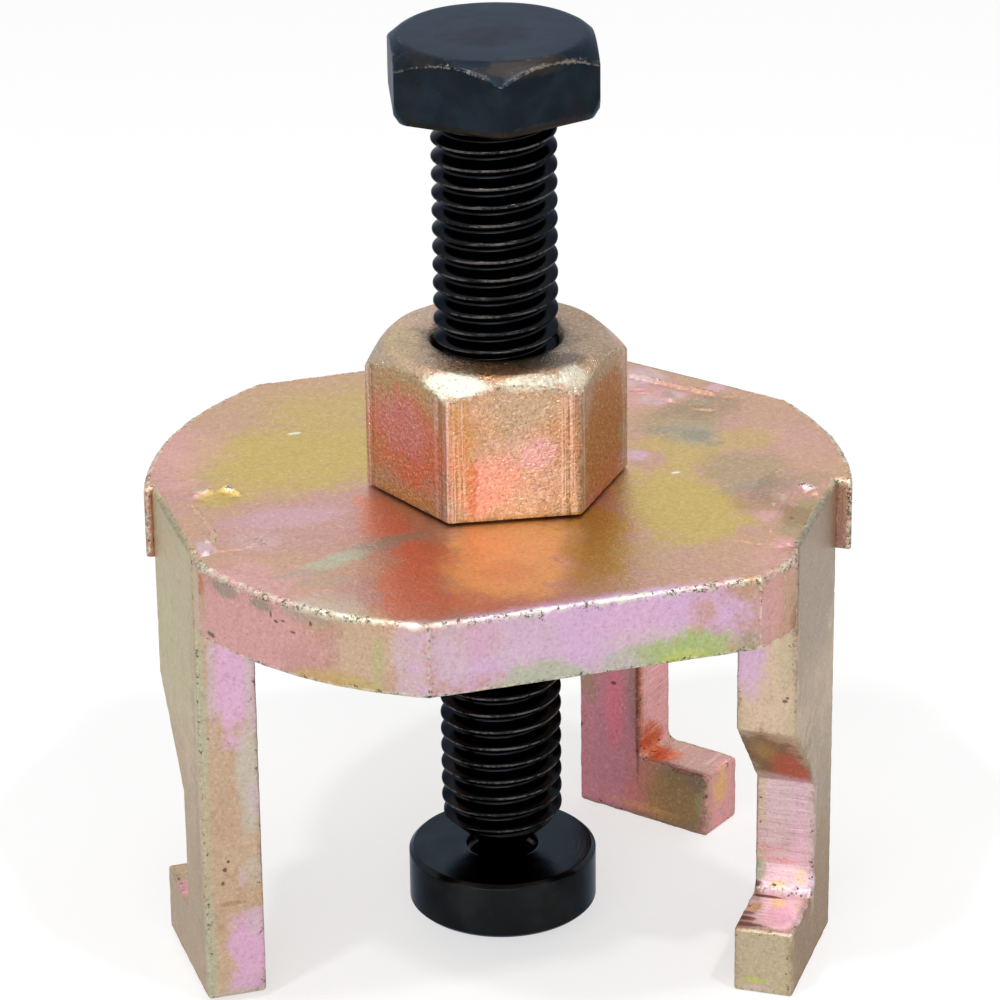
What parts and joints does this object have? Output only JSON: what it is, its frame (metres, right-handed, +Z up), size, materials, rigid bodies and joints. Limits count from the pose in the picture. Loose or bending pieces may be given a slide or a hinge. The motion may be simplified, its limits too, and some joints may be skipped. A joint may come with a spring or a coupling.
{
  "type": "gear puller",
  "caption": "Three-jaw gear puller with fixed hooked jaws welded to a flatted plate, a hexagon hub nut and a forcing screw with a swivel pad.",
  "frame": {"origin": "centre of the pressure pad's working face, with the screw as it is stored", "axes": "+Z up the forcing screw to its head; the plate's two long flats face -Y and +Y; the left jaw is towards -X"},
  "size_m": [0.0556, 0.0498, 0.0772],
  "materials": {
    "plate_zinc": "yellow chromate zinc plate with pink and green bloom, matt where blasted, worn bright on edges",
    "hub_zinc": "yellow chromate zinc plate over a blasted face, orange and pink",
    "jaw_zinc": "yellow chromate zinc plate with pink and green bloom, matt where blasted, worn bright on edges",
    "weld_zinc": "ground weld bead, plated with the rest",
    "screw_black": "black oxide, oiled, worn brown on the edges",
    "pad_black": "black oxide, satin, turned",
    "spring_steel": "drawn spring wire"
  },
  "bodies": {
    "frame": {"plate": "plate_zinc", "hub_nut": "hub_zinc", "hub_weld": "weld_zinc", "left_jaw": "jaw_zinc", "right_jaw": "jaw_zinc", "rear_jaw": "jaw_zinc", "left_jaw_weld": "weld_zinc", "right_jaw_weld": "weld_zinc", "rear_jaw_weld": "weld_zinc"},
    "thrust": {"pad_snap_ring": "spring_steel"},
    "screw": {"forcing_screw": "screw_black"},
    "pad": {"pressure_pad": "pad_black"}
  },
  "joints": [
    {"name": "screw_travel", "type": "slide", "parent": "frame", "child": "thrust", "axis": [0, 0, -1], "range_m": [-0.0255, 0.01875]},
    {"name": "screw_turn", "type": "hinge", "parent": "thrust", "child": "screw", "pos_m": [0, 0, 0.0692], "axis": [0, 0, -1], "range_deg": [-6121, 4501]},
    {"name": "pad_tilt", "type": "hinge", "parent": "thrust", "child": "pad", "pos_m": [0, 0, 0.0029], "axis": [1, 0, 0], "range_deg": [-3, 3]}
  ],
  "couplings": [
    {"joint": "screw_turn", "follows": "screw_travel", "rad_per_m": 4188.8}
  ]
}
